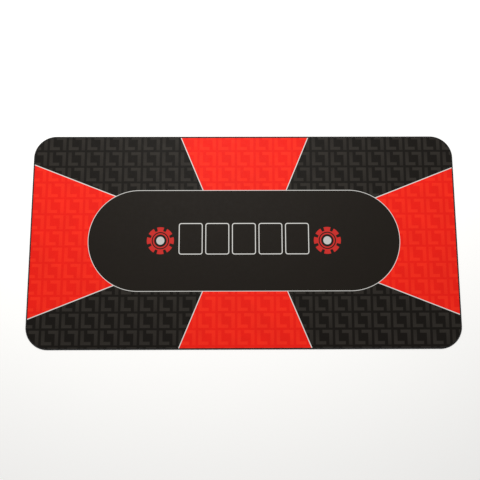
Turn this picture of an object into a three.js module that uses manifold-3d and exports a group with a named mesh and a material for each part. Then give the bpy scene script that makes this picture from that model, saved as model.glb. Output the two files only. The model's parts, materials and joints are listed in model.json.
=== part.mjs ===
// A soft poker table mat: a printed cloth on a foam rubber base, with a stitched edging all round.
// Millimetres, +Z up, X along the mat. The origin is at the middle of the underside.
// The mat folds along three lines across its width, so each layer is made as four panels.
import * as THREE from 'three';
import { mergeVertices } from 'three/addons/utils/BufferGeometryUtils.js';
import Module from 'manifold-3d';

const wasm = await Module();
wasm.setup();

// Driving dimensions
const LENGTH = 1800;
const WIDTH = 900;
const CORNER_RADIUS = 94;
const FOLD_X = 452;
const FOLD_GAP = 0.3;

// Levels of the layers, from the underside up
const BASE_TOP = 2.5;
const CLOTH_TOP = 3;
const GRIP_BOTTOM = 0.5;
const GRIP_TOP = 2.75;
const EDGING_BOTTOM = 0.125;
const EDGING_TOP = 3.25;

// The edging laps over the face and under the base, and its wall closes the outer side.
// It grips both layers and presses them thinner, from the grip's bottom to its top.
const EDGING_LAP = 5;
const EDGING_WALL = 0.5;
const LAYER_INSET = 0.75;
const CORNER_SEGMENTS = 24;

// How far a cutting solid runs past what it cuts
const CUT_OVERRUN = 1;

// Panels from the middle outwards: how far each one reaches along X
const CENTRE_INNER = FOLD_GAP / 2;
const CENTRE_OUTER = FOLD_X - FOLD_GAP / 2;
const WING_INNER = FOLD_X + FOLD_GAP / 2;

const clothFinish = new THREE.MeshStandardMaterial({ color: 0xd22a20, roughness: 0.85, metalness: 0 });
const rubberFinish = new THREE.MeshStandardMaterial({ color: 0x1b1b1c, roughness: 0.9, metalness: 0 });
const threadFinish = new THREE.MeshStandardMaterial({ color: 0x0e0e0f, roughness: 0.75, metalness: 0 });

const solid = new THREE.Group();

// A closed polygon turned half way round for the left side, which keeps its winding
function placed(points, side) {
  return new THREE.Shape(points.map((p) => new THREE.Vector2(side * p.x, side * p.y)));
}

// The wing of the right side: square at the fold, with two round corners at the end
function wingOutline(side, inset) {
  const end = LENGTH / 2 - inset;
  const half = WIDTH / 2 - inset;
  const radius = CORNER_RADIUS - inset;
  const path = new THREE.Path();
  path.moveTo(WING_INNER, -half);
  path.lineTo(end - radius, -half);
  path.absarc(end - radius, radius - half, radius, -Math.PI / 2, 0, false);
  path.lineTo(end, half - radius);
  path.absarc(end - radius, half - radius, radius, 0, Math.PI / 2, false);
  path.lineTo(WING_INNER, half);
  return placed(path.getPoints(CORNER_SEGMENTS), side);
}

// A centre panel of the right side, between two fold lines
function centreOutline(side, low, high) {
  const corners = [
    new THREE.Vector2(CENTRE_INNER, low),
    new THREE.Vector2(CENTRE_OUTER, low),
    new THREE.Vector2(CENTRE_OUTER, high),
    new THREE.Vector2(CENTRE_INNER, high),
  ];
  return placed(corners, side);
}

function slab(outline, bottom, top) {
  const geometry = new THREE.ExtrudeGeometry(outline, { depth: top - bottom, bevelEnabled: false });
  geometry.translate(0, 0, bottom);
  return geometry;
}

// Boolean helpers: a geometry becomes a manifold solid and comes back as a geometry
function toManifold(geometry) {
  const bare = geometry.clone();
  bare.deleteAttribute('normal');
  bare.deleteAttribute('uv');
  const merged = mergeVertices(bare);
  return new wasm.Manifold(new wasm.Mesh({
    numProp: 3,
    vertProperties: new Float32Array(merged.attributes.position.array),
    triVerts: new Uint32Array(merged.index.array),
  }));
}

function toGeometry(manifold) {
  const mesh = manifold.getMesh();
  const geometry = new THREE.BufferGeometry();
  geometry.setAttribute('position', new THREE.BufferAttribute(mesh.vertProperties, mesh.numProp));
  geometry.setIndex(new THREE.BufferAttribute(mesh.triVerts, 1));
  geometry.computeVertexNormals();
  return geometry;
}

function add(name, geometry, material) {
  const mesh = new THREE.Mesh(geometry, material);
  mesh.name = name;
  solid.add(mesh);
}

// A layer is full height inside the edging and thinner at its rim, where the edging grips it
function steppedLayer(rim, rimLevels, core, coreLevels) {
  const thin = toManifold(slab(rim, ...rimLevels));
  const full = toManifold(slab(core, ...coreLevels));
  return toGeometry(thin.add(full));
}

function addLayers(name, rim, core) {
  const cloth = steppedLayer(rim, [BASE_TOP, GRIP_TOP], core, [BASE_TOP, CLOTH_TOP]);
  const base = steppedLayer(rim, [GRIP_BOTTOM, BASE_TOP], core, [0, BASE_TOP]);
  add(`cloth_${name}`, cloth, clothFinish);
  add(`rubber_base_${name}`, base, rubberFinish);
}

// The edging is a band of C section: its lap over the face, its outer wall and its lap under the base
function addEdging(name, outside, channel, inside) {
  const band = toManifold(slab(outside, EDGING_BOTTOM, EDGING_TOP));
  const hollow = toManifold(slab(channel, GRIP_BOTTOM, GRIP_TOP));
  const middle = toManifold(slab(inside, EDGING_BOTTOM - CUT_OVERRUN, EDGING_TOP + CUT_OVERRUN));
  add(`edging_${name}`, toGeometry(band.subtract(hollow).subtract(middle)), threadFinish);
}

function addWing(name, side) {
  const core = wingOutline(side, EDGING_LAP);
  addLayers(name, wingOutline(side, LAYER_INSET), core);
  addEdging(name, wingOutline(side, 0), wingOutline(side, EDGING_WALL), core);
}

// The edging of a centre panel is two straight runs; front is the -Y side
function addCentre(name, side) {
  const half = WIDTH / 2;
  const across = (inset) => centreOutline(side, inset - half, half - inset);
  const core = across(EDGING_LAP);
  addLayers(name, across(LAYER_INSET), core);
  for (const [facing, end] of [['front', -side], ['back', side]]) {
    const strip = (inset) => {
      const rim = end * (half - inset);
      return centreOutline(side, Math.min(0, rim), Math.max(0, rim));
    };
    addEdging(`${name}_${facing}`, strip(0), strip(EDGING_WALL), core);
  }
}

addWing('left_wing', -1);
addCentre('left_centre', -1);
addCentre('right_centre', 1);
addWing('right_wing', 1);

export default solid;
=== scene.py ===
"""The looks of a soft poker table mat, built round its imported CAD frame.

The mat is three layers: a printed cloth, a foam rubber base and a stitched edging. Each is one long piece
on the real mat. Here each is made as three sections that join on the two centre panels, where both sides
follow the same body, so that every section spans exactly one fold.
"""
import json
import math
from collections import namedtuple

import bpy
import numpy as np
from mathutils import Matrix, Vector


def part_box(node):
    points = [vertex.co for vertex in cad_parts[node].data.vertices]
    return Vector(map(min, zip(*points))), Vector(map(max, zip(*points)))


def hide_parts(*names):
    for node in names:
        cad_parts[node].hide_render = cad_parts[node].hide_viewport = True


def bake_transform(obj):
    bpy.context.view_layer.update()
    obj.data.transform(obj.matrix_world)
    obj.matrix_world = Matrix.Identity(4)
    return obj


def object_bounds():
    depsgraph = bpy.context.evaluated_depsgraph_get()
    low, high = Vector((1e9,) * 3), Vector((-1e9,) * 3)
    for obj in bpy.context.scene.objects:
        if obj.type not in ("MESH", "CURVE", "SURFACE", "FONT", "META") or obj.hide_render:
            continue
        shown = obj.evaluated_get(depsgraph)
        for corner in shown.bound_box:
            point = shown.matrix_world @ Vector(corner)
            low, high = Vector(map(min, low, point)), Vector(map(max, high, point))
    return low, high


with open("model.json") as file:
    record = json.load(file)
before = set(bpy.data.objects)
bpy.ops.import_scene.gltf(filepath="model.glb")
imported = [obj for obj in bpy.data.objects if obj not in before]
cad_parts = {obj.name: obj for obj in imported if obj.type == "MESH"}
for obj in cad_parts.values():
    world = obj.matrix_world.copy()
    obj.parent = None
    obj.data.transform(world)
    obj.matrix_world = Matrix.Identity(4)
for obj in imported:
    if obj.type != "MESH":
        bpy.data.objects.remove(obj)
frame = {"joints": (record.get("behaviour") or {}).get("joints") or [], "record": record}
CAD_LOW, CAD_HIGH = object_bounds()

# Places that come from the frame, in metres
HALF_X = CAD_HIGH.x
HALF_Y = CAD_HIGH.y
BASE_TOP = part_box("rubber_base_left_centre")[1].z
CLOTH_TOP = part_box("cloth_left_centre")[1].z
FOLD_X = next(joint["pos_m"][0] for joint in frame["joints"] if joint["name"] == "fold_right_wing")

# The outline's round corners, the same as the CAD model's
CORNER_RADIUS = 0.094
# Where the sections join: between the last card box and the emblem, across no printed line but the oval's
SEAM_X = 0.284
# How far each fold's bend reaches to each side of its line
WING_BEND = 0.0055
CENTRE_BEND = 0.0135

# A stretch of the mat from first to last along X, and the two bodies that it joins at its fold
Section = namedtuple("Section", "first last left_body right_body fold reach")
SECTIONS = {
    "left": Section(-HALF_X, -SEAM_X, "left_wing", "left_centre", -FOLD_X, WING_BEND),
    "middle": Section(-SEAM_X, SEAM_X, "left_centre", "right_centre", 0.0, CENTRE_BEND),
    "right": Section(SEAM_X, HALF_X, "right_centre", "right_wing", FOLD_X, WING_BEND),
}


# ---------------------------------------------------------------------------------------------- camera
CAMERA_TARGET = Vector((-0.01654, 0.00065, CLOTH_TOP))
CAMERA_DISTANCE = 1.4735
CAMERA_ELEVATION = math.radians(84.873)
CAMERA_AZIMUTH = math.radians(-2.477)
CAMERA_ROLL = math.radians(2.338)
CAMERA_LENS_MM = 26.25
SENSOR_MM = 36.0
NEAREST_SEEN = 0.01
FARTHEST_SEEN = 100.0


def make_camera():
    """A camera almost straight above the mat, a little to the front side."""
    level = math.cos(CAMERA_ELEVATION)
    back = Vector((
        math.sin(CAMERA_AZIMUTH) * level,
        -math.cos(CAMERA_AZIMUTH) * level,
        math.sin(CAMERA_ELEVATION),
    ))
    data = bpy.data.cameras.new("camera")
    data.lens = CAMERA_LENS_MM
    data.sensor_width = SENSOR_MM
    data.clip_start = NEAREST_SEEN
    data.clip_end = FARTHEST_SEEN
    camera = bpy.data.objects.new("camera", data)
    bpy.context.scene.collection.objects.link(camera)
    place = Matrix.Translation(CAMERA_TARGET + back * CAMERA_DISTANCE)
    aim = back.to_track_quat("Z", "Y").to_matrix().to_4x4()
    camera.matrix_world = place @ aim @ Matrix.Rotation(CAMERA_ROLL, 4, "Z")
    bpy.context.scene.camera = camera


# ---------------------------------------------------------------------------------- arithmetic on nodes
# A Mix node's colour sockets by number, because its sockets for numbers and vectors have the same names
MIX_COLOUR_INPUTS = (6, 7)
MIX_COLOUR_OUTPUT = 2


class Field:
    """A number that varies over a surface: a node socket, with arithmetic that adds Math nodes."""

    def __init__(self, tree, socket):
        self.tree = tree
        self.socket = socket

    def math(self, operation, *others):
        node = self.tree.nodes.new("ShaderNodeMath")
        node.operation = operation
        for into, value in zip(node.inputs, (self, *others)):
            if isinstance(value, Field):
                self.tree.links.new(value.socket, into)
            else:
                into.default_value = value
        return Field(self.tree, node.outputs[0])

    def __add__(self, other):
        return self.math("ADD", other)

    def __sub__(self, other):
        return self.math("SUBTRACT", other)

    def __rsub__(self, number):
        return -self + number

    def __mul__(self, other):
        return self.math("MULTIPLY", other)

    def __truediv__(self, other):
        return self.math("DIVIDE", other)

    def __abs__(self):
        return self.math("ABSOLUTE")

    def __neg__(self):
        return self.math("MULTIPLY", -1.0)

    def at_least(self, other):
        return self.math("MAXIMUM", other)

    def at_most(self, other):
        return self.math("MINIMUM", other)

    def part_of(self, step):
        """How far it is past the last whole step."""
        return self.math("FLOORED_MODULO", step)

    def nearest(self, step):
        return (self / step).math("ROUND") * step

    def between(self, least, most):
        """From least to most, where this field runs from 0 to 1."""
        return self * (most - least) + least

    def ramp(self, low, high):
        """0 at low and 1 at high, smooth between; low may be above high."""
        node = self.tree.nodes.new("ShaderNodeMapRange")
        node.interpolation_type = "SMOOTHSTEP"
        self.tree.links.new(self.socket, node.inputs["Value"])
        first, last = (0.0, 1.0) if low < high else (1.0, 0.0)
        set_inputs(node, {
            "From Min": min(low, high),
            "From Max": max(low, high),
            "To Min": first,
            "To Max": last,
        })
        return Field(self.tree, node.outputs["Result"])


def set_inputs(node, values):
    """Constants for a node's own inputs, by the inputs' names."""
    for name, value in values.items():
        node.inputs[name].default_value = value


def hypotenuse(a, b):
    return (a * a + b * b).math("SQRT")


def stored_place(tree, name="rest_place"):
    """A stored vector and its three numbers. rest_place is where the surface lay at rest, so that nothing
    that is printed or woven slides when the mat folds."""
    stored = tree.nodes.new("ShaderNodeAttribute")
    stored.attribute_type = "GEOMETRY"
    stored.attribute_name = name
    split = tree.nodes.new("ShaderNodeSeparateXYZ")
    tree.links.new(stored.outputs["Vector"], split.inputs[0])
    return stored.outputs["Vector"], [Field(tree, s) for s in split.outputs]


def mixed(tree, share, first, second):
    """A colour socket: first where share is 0, second where it is 1. Each is a colour or a socket."""
    node = tree.nodes.new("ShaderNodeMix")
    node.data_type = "RGBA"
    tree.links.new(share.socket, node.inputs["Factor"])
    for index, value in zip(MIX_COLOUR_INPUTS, (first, second)):
        if isinstance(value, bpy.types.NodeSocket):
            tree.links.new(value, node.inputs[index])
        else:
            node.inputs[index].default_value = (*value, 1.0)
    return node.outputs[MIX_COLOUR_OUTPUT]


def noise(tree, vector, scale, detail=2.0, roughness=0.5):
    node = tree.nodes.new("ShaderNodeTexNoise")
    set_inputs(node, {"Scale": scale, "Detail": detail, "Roughness": roughness})
    tree.links.new(vector, node.inputs["Vector"])
    return Field(tree, node.outputs["Fac"])


def dimmed(tree, colour, share):
    """The colour times a field."""
    node = tree.nodes.new("ShaderNodeVectorMath")
    node.operation = "SCALE"
    tree.links.new(colour, node.inputs[0])
    tree.links.new(share.socket, node.inputs["Scale"])
    return node.outputs[0]


def bumped(tree, height, distance, strength, under=None):
    """A normal socket for a height field; under is a normal that it is added to."""
    node = tree.nodes.new("ShaderNodeBump")
    set_inputs(node, {"Distance": distance, "Strength": strength})
    tree.links.new(height.socket, node.inputs["Height"])
    if under is not None:
        tree.links.new(under, node.inputs["Normal"])
    return node.outputs[0]


def new_material(name):
    material = bpy.data.materials.new(name)
    material.use_nodes = True
    return material, material.node_tree, material.node_tree.nodes["Principled BSDF"]


# ---------------------------------------------------------------------------------------- printed art
# Every size is in metres and every colour is linear
OVAL_LINE = 0.0023
FIELD_LINE = 0.0035
# How far an ink's edge is blurred to each side
SOFT = 0.0004

OVAL_CENTRE = (0.0012, 0.0002)
OVAL_HALF_STRAIGHT = 0.4435
OVAL_RADIUS = 0.2128

# The lines that part the red and black fields: from the oval out to the edge
CROSS_LINE_SHIFT = 0.004
CROSS_LINE_AT_OVAL = 0.1768
CROSS_LINE_AT_EDGE = 0.2759
SIDE_LINE_AT_EDGE = 0.3205
SIDE_LINE_SLOPE = 0.392
# How much further out the side lines lie at the left end, and further in at the right end
SIDE_LINE_SKEW = 0.0074

CARDS_EACH_SIDE = 2
CARD_PITCH = 0.1121
CARD_HALF = (0.0485, 0.0646)
CARD_ROUND = 0.009
CARD_Y = 0.0064
CARD_LINE = 0.0035

EMBLEM_X = 0.3515
EMBLEM_Y = -0.0015
EMBLEM_RADIUS = 0.057
# Places along the emblem's radius, as shares of it: the rim's inner side, the ring's sides and the middle
EMBLEM_RIM = 0.64
EMBLEM_RING = (0.46, 0.56)
EMBLEM_MIDDLE = 0.30
# The rim's notches: where their floor lies on the radius, and how far their sides are from their middle, as
# shares of their pitch
NOTCHES = 8.0
NOTCH_FLOOR = (0.72, 0.74)
NOTCH_SIDE = (0.17, 0.15)

# The repeated tile: the lower left corner of one of them, and its size
TILE_START = (-0.7591, -0.4358)
TILE_SIZE = (0.0805, 0.0684)
# A tile's two hooks, each two bars as (left, right, bottom, top) in shares of the tile
LOWER_HOOK = ((0.08, 0.26, 0.08, 0.93), (0.08, 0.61, 0.08, 0.27))
UPPER_HOOK = ((0.43, 0.95, 0.75, 0.94), (0.77, 0.95, 0.06, 0.94))
# Each hook is strongest at its corner's end of the tile, and loses this share towards the other end
HOOK_FADE = 0.38
HOOK_SOFT = 0.0014

RED_GROUND = (0.770, 0.0090, 0.0026)
RED_HOOKS = (0.850, 0.0203, 0.0060)
BLACK_GROUND = (0.0040, 0.0026, 0.0013)
BLACK_HOOKS = (0.0220, 0.0186, 0.0152)
OVAL_BLACK = (0.0084, 0.0058, 0.0036)
WHITE_INK = (0.66, 0.66, 0.64)
CHIP_RED = (0.52, 0.022, 0.018)
CHIP_PALE = (0.50, 0.50, 0.49)
CLOTH_BACK = (0.0065, 0.0055, 0.0045)


def oval_distance(x, y):
    """How far a point is outside the oval, negative inside it."""
    past = (abs(x - OVAL_CENTRE[0]) - OVAL_HALF_STRAIGHT).at_least(0.0)
    return hypotenuse(past, y - OVAL_CENTRE[1]) - OVAL_RADIUS


def cross_line_distance(x, y):
    """How far a point is outside the red field at the front or back, square to its line."""
    lean = (CROSS_LINE_AT_EDGE - CROSS_LINE_AT_OVAL) / (HALF_Y - OVAL_RADIUS)
    reach = (abs(y) - OVAL_RADIUS) * lean + CROSS_LINE_AT_OVAL
    return (abs(x - CROSS_LINE_SHIFT) - reach) * math.cos(math.atan(lean))


def side_line_distance(x, y):
    """How far a point is outside the red field at the left or right end, square to its line."""
    fall = (HALF_X - abs(x)) * SIDE_LINE_SLOPE
    reach = SIDE_LINE_AT_EDGE - x.math("SIGN") * SIDE_LINE_SKEW - fall
    return (abs(y) - reach) * math.cos(math.atan(SIDE_LINE_SLOPE))


def card_distance(x, y):
    """How far a point is outside the outline of the nearest card box of the row."""
    last = CARDS_EACH_SIDE * CARD_PITCH
    column = x.nearest(CARD_PITCH).at_least(-last).at_most(last)
    over_x = (abs(x - column) - (CARD_HALF[0] - CARD_ROUND)).at_least(0.0)
    over_y = (abs(y - CARD_Y) - (CARD_HALF[1] - CARD_ROUND)).at_least(0.0)
    return hypotenuse(over_x, over_y) - CARD_ROUND


def bars_mask(u, v, bars):
    """1 on any of the bars of a tile, where u and v are places in the tile in metres."""
    nearest = None
    for left, right, bottom, top in bars:
        out_u = abs(u - (left + right) / 2 * TILE_SIZE[0]) - (right - left) / 2 * TILE_SIZE[0]
        out_v = abs(v - (bottom + top) / 2 * TILE_SIZE[1]) - (top - bottom) / 2 * TILE_SIZE[1]
        bar = out_u.at_least(out_v)
        nearest = bar if nearest is None else nearest.at_most(bar)
    return nearest.ramp(HOOK_SOFT, -HOOK_SOFT)


def hook_mask(x, y):
    """How strong the repeated tile's hooks are printed: 0 between them and at most 1 on them."""
    u = (x - TILE_START[0]).part_of(TILE_SIZE[0])
    v = (y - TILE_START[1]).part_of(TILE_SIZE[1])
    fade = v * (HOOK_FADE / TILE_SIZE[1])
    lower = bars_mask(u, v, LOWER_HOOK) * (1.0 - fade)
    upper = bars_mask(u, v, UPPER_HOOK) * (fade + (1.0 - HOOK_FADE))
    return lower.at_least(upper)


def inside(distance):
    return distance.ramp(SOFT, -SOFT)


def on_line(distance, width):
    return inside(abs(distance) - width / 2)


def emblem(tree, x, y):
    """A plain gaming chip on the oval's black, the same at both ends of the row of cards."""
    px = abs(x) - EMBLEM_X
    py = y - EMBLEM_Y
    radius = hypotenuse(px, py) / EMBLEM_RADIUS
    edge = SOFT / EMBLEM_RADIUS

    def within(share):
        return radius.ramp(share + edge, share - edge)

    def beyond(share):
        return radius.ramp(share - edge, share + edge)

    turn = px.math("ARCTAN2", py) / (2 * math.pi) + 0.5
    notch = abs((turn * NOTCHES).part_of(1.0) - 0.5).ramp(*NOTCH_SIDE) * radius.ramp(*NOTCH_FLOOR)
    rim = within(1.0) * beyond(EMBLEM_RIM) * (1.0 - notch)
    ring = beyond(EMBLEM_RING[0]) * within(EMBLEM_RING[1])
    colour = mixed(tree, rim, OVAL_BLACK, CHIP_RED)
    colour = mixed(tree, ring, colour, CHIP_RED)
    return mixed(tree, within(EMBLEM_MIDDLE), colour, CHIP_PALE)


def printed_colour(tree, x, y):
    """The whole printed face as one colour socket."""
    oval = oval_distance(x, y)
    cross = cross_line_distance(x, y)
    side = side_line_distance(x, y)
    hooks = hook_mask(x, y)
    red = mixed(tree, hooks, RED_GROUND, RED_HOOKS)
    black = mixed(tree, hooks, BLACK_GROUND, BLACK_HOOKS)
    field = mixed(tree, inside(cross.at_most(side)), black, red)
    field = mixed(tree, on_line(cross, FIELD_LINE), field, WHITE_INK)
    field = mixed(tree, on_line(side, FIELD_LINE), field, WHITE_INK)
    middle = mixed(tree, on_line(card_distance(x, y), CARD_LINE), emblem(tree, x, y), WHITE_INK)
    both = mixed(tree, inside(oval), field, middle)
    return mixed(tree, on_line(oval, OVAL_LINE), both, WHITE_INK)


# ------------------------------------------------------------------------------------------ materials
# A shade is a share of the colour's brightness. A pair of shades or roughnesses is the least and the most,
# and a relief is its height in metres and its strength.
SHEEN = {"Sheen Weight": 0.03, "Sheen Roughness": 0.4}

WEAVE_PITCH = 0.0009
WEAVE_SHADE = 0.10
WEAVE_RELIEF = (0.00006, 0.5)
# The threads wander sideways by a share of this, over stretches of about 1 / WANDER_SCALE
WANDER = 0.0026
WANDER_SCALE = 90.0
WORN_SHADES = (0.965, 1.035)
GRAIN_SHADES = (0.95, 1.05)
SWELL_RELIEF = (0.0012, 0.25)
CLOTH_ROUGHNESS = (0.56, 0.68)
CLOTH_SPECULAR = 0.14
# Down the cloth's rim, print gives way to the plain back from the first height to the second
CLOTH_BACK_HEIGHTS = (BASE_TOP + 0.0001, BASE_TOP + 0.00005)

RUBBER_CLEAN = (0.0170, 0.0170, 0.0175)
RUBBER_DUSTY = (0.0380, 0.0365, 0.0345)
RUBBER_RUBBED = (0.0480, 0.0475, 0.0465)
RUBBED_SHARE = 0.5
NET_PITCH = 0.0034
# A strand of the net rises between these levels of a wave from 0 to 1
NET_STRAND = (0.70, 0.98)
NET_RELIEF = (0.0005, 1.0)
# Down the base's rim, the net begins from the first height to the second
NET_HEIGHTS = (BASE_TOP / 5, BASE_TOP / 10)
CELL_SHADES = (0.85, 1.15)
CELL_RELIEF = (0.00015, 0.5)
PRESSED_SHADES = (0.92, 1.08)
RUBBER_ROUGHNESS = 0.74
DUST_ROUGHENS = 0.12
NET_SMOOTHS = 0.16
RUBBER_SPECULAR = 0.4

THREAD_DARK = (0.0030, 0.0030, 0.0031)
THREAD_PALE = (0.0160, 0.0153, 0.0150)
# Strands in the width of a stitch, and how many times they turn over in one stitch
STRANDS = 3.0
TWISTS = 12.0
STRAND_RELIEF = (0.00012, 0.7)
# How much each of these lifts a thread from its dark colour towards its pale one
LINT_SHARE = 0.45
STRAND_SHARE = 0.35
STITCH_SHARE = 0.4
# From this far out from a stitch's middle, as a share of the stitch, painted shade darkens its colour to
# the brightness share that follows
VALLEY_START = 0.34
VALLEY_PAINTED_SHADE = 0.4
THREAD_ROUGHNESS = (0.46, 0.66)
THREAD_SPECULAR = 0.22


def wave(field, pitch):
    """A sine of a length: 0 to 1 and back over each pitch."""
    return (field * (2 * math.pi / pitch)).math("SINE") * 0.5 + 0.5


def cloth_material():
    """Printed polyester knit: flat ink on a fine weave with a faint sheen, and a plain dark back."""
    material, tree, shader = new_material("printed_cloth")
    vector, (x, y, z) = stored_place(tree)
    turns = 2 * math.pi / WEAVE_PITCH
    wandering = x + noise(tree, vector, scale=WANDER_SCALE, detail=1.0) * WANDER
    weave = (wandering * turns).math("SINE") * (y * turns).math("SINE")
    worn = noise(tree, vector, scale=9.0, detail=4.0).ramp(0.25, 0.75).between(*WORN_SHADES)
    grain = noise(tree, vector, scale=420.0).between(*GRAIN_SHADES)
    threads = weave * WEAVE_SHADE + 1.0
    back = z.ramp(*CLOTH_BACK_HEIGHTS)
    colour = mixed(tree, back, printed_colour(tree, x, y), CLOTH_BACK)
    tree.links.new(dimmed(tree, colour, worn * grain * threads), shader.inputs["Base Color"])
    rough = noise(tree, vector, scale=60.0, detail=3.0).between(*CLOTH_ROUGHNESS)
    tree.links.new(rough.socket, shader.inputs["Roughness"])
    normal = bumped(tree, weave, *WEAVE_RELIEF)
    swell = noise(tree, vector, scale=16.0, detail=3.0)
    normal = bumped(tree, swell, *SWELL_RELIEF, under=normal)
    tree.links.new(normal, shader.inputs["Normal"])
    set_inputs(shader, {"Specular IOR Level": CLOTH_SPECULAR, **SHEEN})
    return material


def rubber_material():
    """Black foam rubber, with a raised net on its underside that keeps the mat from sliding."""
    material, tree, shader = new_material("foam_rubber")
    vector, (x, y, z) = stored_place(tree)
    cells = noise(tree, vector, scale=900.0, detail=3.0)
    dust = noise(tree, vector, scale=11.0, detail=6.0, roughness=0.62).ramp(0.38, 0.70)
    pressed = noise(tree, vector, scale=3.0, detail=3.0).ramp(0.3, 0.7)
    slant = NET_PITCH * math.sqrt(2)
    strands = wave(x + y, slant).at_least(wave(x - y, slant))
    net = strands.ramp(*NET_STRAND) * z.ramp(*NET_HEIGHTS)
    colour = mixed(tree, dust, RUBBER_CLEAN, RUBBER_DUSTY)
    colour = mixed(tree, net * RUBBED_SHARE, colour, RUBBER_RUBBED)
    shade = cells.between(*CELL_SHADES) * pressed.between(*PRESSED_SHADES)
    tree.links.new(dimmed(tree, colour, shade), shader.inputs["Base Color"])
    rough = dust * DUST_ROUGHENS - net * NET_SMOOTHS + RUBBER_ROUGHNESS
    tree.links.new(rough.socket, shader.inputs["Roughness"])
    normal = bumped(tree, net, *NET_RELIEF)
    normal = bumped(tree, cells, *CELL_RELIEF, under=normal)
    tree.links.new(normal, shader.inputs["Normal"])
    set_inputs(shader, {"Specular IOR Level": RUBBER_SPECULAR})
    return material


def thread_material():
    """Black polyester thread: twisted strands along each stitch, and painted shade in the valley between
    stitches.
    """
    material, tree, shader = new_material("edge_thread")
    vector, _ = stored_place(tree)
    _, (turn, across, _) = stored_place(tree, "stitch_place")
    # Painted shade: the colour darkens where the thread dips between one stitch and the next
    painted_valley_shade = abs(turn.part_of(1.0) - 0.5).ramp(VALLEY_START, 0.5)
    strands = wave(turn * STRANDS + across * TWISTS, 1.0)
    lint = noise(tree, vector, scale=260.0)
    shade = lint * LINT_SHARE + strands * STRAND_SHARE + stitch_tone(tree, turn) * STITCH_SHARE
    colour = mixed(tree, shade, THREAD_DARK, THREAD_PALE)
    tree.links.new(dimmed(tree, colour, painted_valley_shade.between(1.0, VALLEY_PAINTED_SHADE)), shader.inputs["Base Color"])
    tree.links.new(lint.between(*THREAD_ROUGHNESS).socket, shader.inputs["Roughness"])
    tree.links.new(bumped(tree, strands, *STRAND_RELIEF), shader.inputs["Normal"])
    set_inputs(shader, {"Specular IOR Level": THREAD_SPECULAR, **SHEEN})
    return material


def stitch_tone(tree, turn):
    """A number from 0 to 1 of each stitch's own."""
    node = tree.nodes.new("ShaderNodeTexWhiteNoise")
    node.noise_dimensions = "1D"
    tree.links.new(turn.math("FLOOR").socket, node.inputs["W"])
    return Field(tree, node.outputs["Value"])


# ------------------------------------------------------------------------------------- mesh of a layer
# The longest steps between columns, over a bend and elsewhere, and how many there are round a corner
BEND_STEP = 0.0008
FLAT_STEP = 0.022
ARC_STEPS = 24
# How far the close columns run from a fold, in half widths of its bend
BEND_MARGIN = 1.3
# A count of steps may be over a whole number by this much before it takes one more
ROUNDING = 1e-9


def steps(first, last, longest):
    """Evenly spaced numbers from first to last, no further apart than longest."""
    count = max(1, math.ceil((last - first) / longest - ROUNDING))
    return [first + (last - first) * i / count for i in range(count + 1)]


def columns(section):
    """The x places of a section's columns up to the corners, which are close together over its fold."""
    part = SECTIONS[section]
    straight = HALF_X - CORNER_RADIUS
    low = part.fold - BEND_MARGIN * part.reach
    high = part.fold + BEND_MARGIN * part.reach
    before = steps(max(part.first, -straight), low, FLAT_STEP)
    after = steps(high, min(part.last, straight), FLAT_STEP)
    return before[:-1] + steps(low, high, BEND_STEP) + after[1:]


def column_ends(section, inset):
    """Each column of a layer as (x, half its length across the mat), at an inset from the outline."""
    radius = CORNER_RADIUS - inset
    corner_x, corner_y = HALF_X - CORNER_RADIUS, HALF_Y - CORNER_RADIUS
    ends = [(x, HALF_Y - inset) for x in columns(section)]
    turns = [math.pi / 2 * i / ARC_STEPS for i in range(1, ARC_STEPS + 1)]
    arc = [(corner_x + radius * math.sin(a), corner_y + radius * math.cos(a)) for a in turns]
    if section == "right":
        return ends + arc
    if section == "left":
        return [(-x, half) for x, half in reversed(arc)] + ends
    return ends


def row_shares():
    """Places across a column as shares of its half length, from -1 to 1."""
    return steps(-1.0, 1.0, FLAT_STEP / HALF_Y)


def outline_indices(section, rows, count):
    """The grid places along a section's outer edge, as runs of (column, row), walked anticlockwise."""
    front = [(c, 0) for c in range(count)]
    back = [(c, rows - 1) for c in range(count)][::-1]
    if section == "right":
        return [front + [(count - 1, r) for r in range(1, rows - 1)] + back]
    if section == "left":
        return [back + [(0, r) for r in range(rows - 2, 0, -1)] + front]
    return [front, back]


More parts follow.
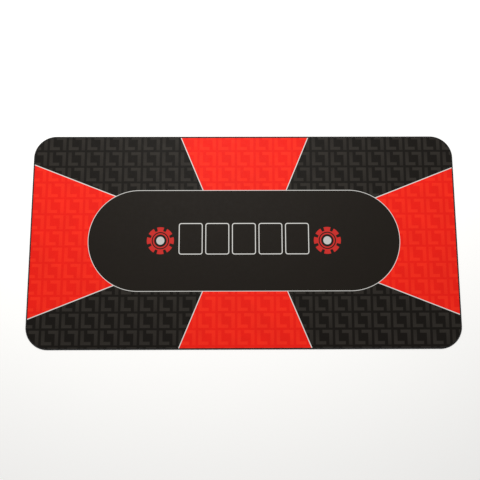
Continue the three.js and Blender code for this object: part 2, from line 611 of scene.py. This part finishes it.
def layer_mesh(name, section, profile):
    """A closed thin layer. profile lists (inset, height) round its rim, from the edge of the flat face to
    the edge of the flat underside, and the flats fill what is inside those two."""
    shares = row_shares()
    rows = len(shares)
    count = len(column_ends(section, 0.0))
    vertices, faces = [], []

    def add_grid(inset, height):
        """Adds a flat grid of points, and gives the index of its first one."""
        start = len(vertices)
        for x, half in column_ends(section, inset):
            vertices.extend((x, half * s, height) for s in shares)
        return start

    def at(start, place):
        """The index of a grid's point at (column, row)."""
        return start + place[0] * rows + place[1]

    # The flat face and the flat underside
    top = add_grid(*profile[0])
    bottom = add_grid(*profile[-1])
    for c in range(count - 1):
        for r in range(rows - 1):
            corners = [(c, r), (c + 1, r), (c + 1, r + 1), (c, r + 1)]
            faces.append([at(top, p) for p in corners])
            faces.append([at(bottom, p) for p in reversed(corners)])

    # The rim's walls, and what they are at the ends of each run
    rim_ends = {}
    for run in outline_indices(section, rows, count):
        walls = [[at(top, p) for p in run]]
        for inset, height in profile[1:-1]:
            ends = column_ends(section, inset)
            walls.append(list(range(len(vertices), len(vertices) + len(run))))
            vertices.extend((ends[c][0], ends[c][1] * shares[r], height) for c, r in run)
        walls.append([at(bottom, p) for p in run])
        for upper, lower in zip(walls, walls[1:]):
            for i in range(len(run) - 1):
                faces.append([upper[i + 1], upper[i], lower[i], lower[i + 1]])
        for i in (0, -1):
            rim_ends[run[i]] = [wall[i] for wall in walls]

    # The square cuts where the section joins the next one
    seams = [c for c, inner in ((0, section != "left"), (count - 1, section != "right")) if inner]
    for c in seams:
        across = [(c, r) for r in range(rows)]
        upper, lower = [at(top, p) for p in across], [at(bottom, p) for p in across]
        face = upper + rim_ends[across[-1]][1:-1] + lower[::-1] + rim_ends[across[0]][1:-1][::-1]
        faces.append(face if c == 0 else face[::-1])
    return finished(name, vertices, faces)


def finished(name, vertices, faces, **fields):
    """An object of that mesh, with its rest places and any other vector fields stored at its points."""
    mesh = bpy.data.meshes.new(name)
    mesh.from_pydata(vertices, [], faces)
    mesh.validate()
    for field, vectors in {"rest_place": vertices, **fields}.items():
        stored = mesh.attributes.new(field, "FLOAT_VECTOR", "POINT")
        stored.data.foreach_set("vector", np.array(vectors, np.float32).ravel())
    obj = bpy.data.objects.new(name, mesh)
    bpy.context.scene.collection.objects.link(obj)
    return obj


# How far the edging presses the cloth down
PRESSED = 0.00025
# Rims of the layers, as (inset from the outline, height): both are thinner where the edging grips them
CLOTH_RIM = [
    (0.0120, CLOTH_TOP),
    (0.0085, CLOTH_TOP),
    (0.0071, CLOTH_TOP - 0.00003),
    (0.0061, CLOTH_TOP - 0.00010),
    (0.0055, CLOTH_TOP - 0.00020),
    (0.0049, CLOTH_TOP - PRESSED),
    (0.0020, CLOTH_TOP - PRESSED),
    (0.0019, BASE_TOP),
    (0.0120, BASE_TOP),
]
BASE_RIM = [
    (0.0120, BASE_TOP),
    (0.0019, BASE_TOP),
    (0.0020, 0.00062),
    (0.0050, 0.00055),
    (0.0060, 0.00022),
    (0.0070, 0.00006),
    (0.0085, 0.0),
    (0.0120, 0.0),
]


# --------------------------------------------------------------------------------------- stitched edging
STITCH_PITCH = 0.0024
STITCH_SAMPLES = 6
STITCH_DEPTH = 0.00042
# How many stitches a thread moves along in one turn round the section
STITCH_LEAN = 1.0

# The edging's section, as (inset, height, share of the stitch's depth): over the face from the locking
# stitch, round the outside, under the base, then back through the channel that grips the layers
EDGE_SECTION = [
    (0.00630, CLOTH_TOP - 0.00012, 0.1),
    (0.00620, CLOTH_TOP + 0.00030, 0.5),
    (0.00560, CLOTH_TOP + 0.00046, 0.9),
    (0.00500, CLOTH_TOP + 0.00028, 1.0),
    (0.00360, CLOTH_TOP + 0.00030, 1.0),
    (0.00210, CLOTH_TOP + 0.00022, 1.0),
    (0.00100, CLOTH_TOP - 0.00020, 1.0),
    (0.00025, CLOTH_TOP - 0.00090, 1.0),
    (0.00003, 0.00160, 1.0),
    (0.00030, 0.00080, 1.0),
    (0.00110, 0.00026, 1.0),
    (0.00260, 0.00012, 0.8),
    (0.00440, 0.00012, 0.6),
    (0.00540, 0.00020, 0.4),
    (0.00570, 0.00046, 0.0),
    (0.00190, 0.00072, 0.0),
    (0.00190, CLOTH_TOP - 0.00040, 0.0),
    (0.00580, CLOTH_TOP - 0.00034, 0.0),
]


def edge_path(section):
    """A section's outline as runs of (x, y, outward x, outward y), with some steps to each stitch."""
    part = SECTIONS[section]
    corner_x, corner_y = HALF_X - CORNER_RADIUS, HALF_Y - CORNER_RADIUS
    step = STITCH_PITCH / STITCH_SAMPLES
    if section == "middle":
        along = steps(part.first, part.last, step)
        front = [(x, -HALF_Y, 0.0, -1.0) for x in along]
        back = [(x, HALF_Y, 0.0, 1.0) for x in reversed(along)]
        return [front, back]
    front = [(x, -HALF_Y, 0.0, -1.0) for x in steps(SEAM_X, corner_x, step)]
    turns = steps(-math.pi / 2, 0.0, step / CORNER_RADIUS)[1:]
    bend = [
        (corner_x + CORNER_RADIUS * nx, -corner_y + CORNER_RADIUS * ny, nx, ny)
        for nx, ny in ((math.cos(a), math.sin(a)) for a in turns)
    ]
    end = [(HALF_X, y, 1.0, 0.0) for y in steps(-corner_y, corner_y, step)[1:-1]]
    mirrored = [(x, -y, nx, -ny) for x, y, nx, ny in reversed(front + bend)]
    run = front + bend + end + mirrored
    if section == "left":
        run = [(-x, -y, -nx, -ny) for x, y, nx, ny in run]
    return [run]


def thread_dip(turn):
    """How far below its crest a stitch is, from 0 at its middle to 1 between two stitches."""
    across = 2 * (turn % 1.0) - 1
    return 1 - math.sqrt(max(0.0, 1 - across * across))


def edging_mesh(name, section):
    """Close stitches side by side round the rim: a swept section that dips between one and the next."""
    vertices, faces, stitches = [], [], []
    size = len(EDGE_SECTION)
    middle = np.array([[i, h] for i, h, _ in EDGE_SECTION]).mean(0)
    for run in edge_path(section):
        start = len(vertices)
        places = np.array([p[:2] for p in run])
        travelled = np.concatenate([[0.0], np.cumsum(np.linalg.norm(np.diff(places, axis=0), axis=1))])
        # A whole number of stitches fills the run
        turns = travelled / travelled[-1] * round(travelled[-1] / STITCH_PITCH)
        for (x, y, nx, ny), turn in zip(run, turns):
            for k, (inset, height, depth) in enumerate(EDGE_SECTION):
                leaning = turn + STITCH_LEAN * k / size
                dip = STITCH_DEPTH * depth * thread_dip(leaning)
                inward = np.array([middle[0] - inset, middle[1] - height])
                inset_by, up_by = inward / np.linalg.norm(inward) * dip
                out = -inset - inset_by
                vertices.append((x + nx * out, y + ny * out, height + up_by))
                stitches.append((leaning, k / size, 0.0))
        for i in range(len(run) - 1):
            for k in range(size):
                a, b = start + i * size + k, start + i * size + (k + 1) % size
                faces.append([a, a + size, b + size, b])
        faces.append([start + k for k in range(size)])
        faces.append([start + (len(run) - 1) * size + k for k in reversed(range(size))])
    return finished(name, vertices, faces, stitch_place=stitches)


# ----------------------------------------------------------------------------------------- the pieces
def nodes_of(section, layer):
    """The CAD nodes of one layer on the two bodies that a section joins."""
    bodies = frame["record"]["behaviour"]["bodies"]
    part = SECTIONS[section]
    return [n for body in (part.left_body, part.right_body) for n in bodies[body] if n.startswith(layer)]


def attach(obj, section, layer, material, smooth):
    """A piece's finish and smoothing, and hiding the CAD nodes that it stands for."""
    _, _, left, right, fold, reach = SECTIONS[section]
    obj.data.materials.append(material)
    for polygon in obj.data.polygons:
        polygon.use_smooth = smooth
    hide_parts(*nodes_of(section, layer))
    fold - reach
    fold + reach
    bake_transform(obj)


def make_mat():
    """Nine pieces: a foam base, a printed face and a stitched edge for each section."""
    cloth, rubber, thread = cloth_material(), rubber_material(), thread_material()
    for section, (first, last, *_) in SECTIONS.items():
        base = layer_mesh(f"foam_base_{section}", section, BASE_RIM)
        attach(base, section, "rubber_base", rubber, False)
        face = layer_mesh(f"printed_face_{section}", section, CLOTH_RIM)
        attach(face, section, "cloth", cloth, False)
        edge = edging_mesh(f"stitched_edge_{section}", section)
        attach(edge, section, "edging", thread, True)
        last - first


# -------------------------------------------------------------------------------------- floor and light
FLOOR_SIZE = 30.0
FLOOR_DROP = 0.0002
FLOOR_FINISH = {
    "Base Color": (0.97, 0.97, 0.97, 1.0),
    "Roughness": 0.9,
    "Specular IOR Level": 0.1,
    "Emission Color": (1.0, 1.0, 1.0, 1.0),
    "Emission Strength": 0.04,
}
SKY = {"Color": (1.0, 1.0, 1.0, 1.0), "Strength": 0.41}

# One wide soft lamp, high over the far side
LAMP_PLACE = Vector((-0.3, 1.8, 3.0))
LAMP_AIM = Vector((0.0, 0.3, 0.0))
LAMP_SIZE = (2.4, 1.2)
LAMP_POWER = 109.0
LAMP_COLOUR = (1.0, 0.985, 0.95)


def make_floor():
    mesh = bpy.data.meshes.new("floor")
    half = FLOOR_SIZE / 2
    corners = [(-half, -half), (half, -half), (half, half), (-half, half)]
    mesh.from_pydata([(x, y, -FLOOR_DROP) for x, y in corners], [], [(0, 1, 2, 3)])
    floor = bpy.data.objects.new("floor", mesh)
    bpy.context.scene.collection.objects.link(floor)
    material, _, shader = new_material("pale_floor")
    set_inputs(shader, FLOOR_FINISH)
    mesh.materials.append(material)


def make_lamp():
    data = bpy.data.lights.new("key", "AREA")
    data.shape = "RECTANGLE"
    data.size, data.size_y = LAMP_SIZE
    data.energy = LAMP_POWER
    data.color = LAMP_COLOUR
    lamp = bpy.data.objects.new("key", data)
    bpy.context.scene.collection.objects.link(lamp)
    lamp.location = LAMP_PLACE
    lamp.rotation_mode = "QUATERNION"
    lamp.rotation_quaternion = (LAMP_PLACE - LAMP_AIM).to_track_quat("Z", "Y")


def make_sky():
    """Even white light from all round, and colours shown without a film curve."""
    world = bpy.data.worlds.new("studio")
    bpy.context.scene.world = world
    world.use_nodes = True
    set_inputs(world.node_tree.nodes["Background"], SKY)
    bpy.context.scene.view_settings.view_transform = "Standard"
    bpy.context.scene.view_settings.look = "None"


make_camera()
make_mat()
make_floor()
make_lamp()
make_sky()
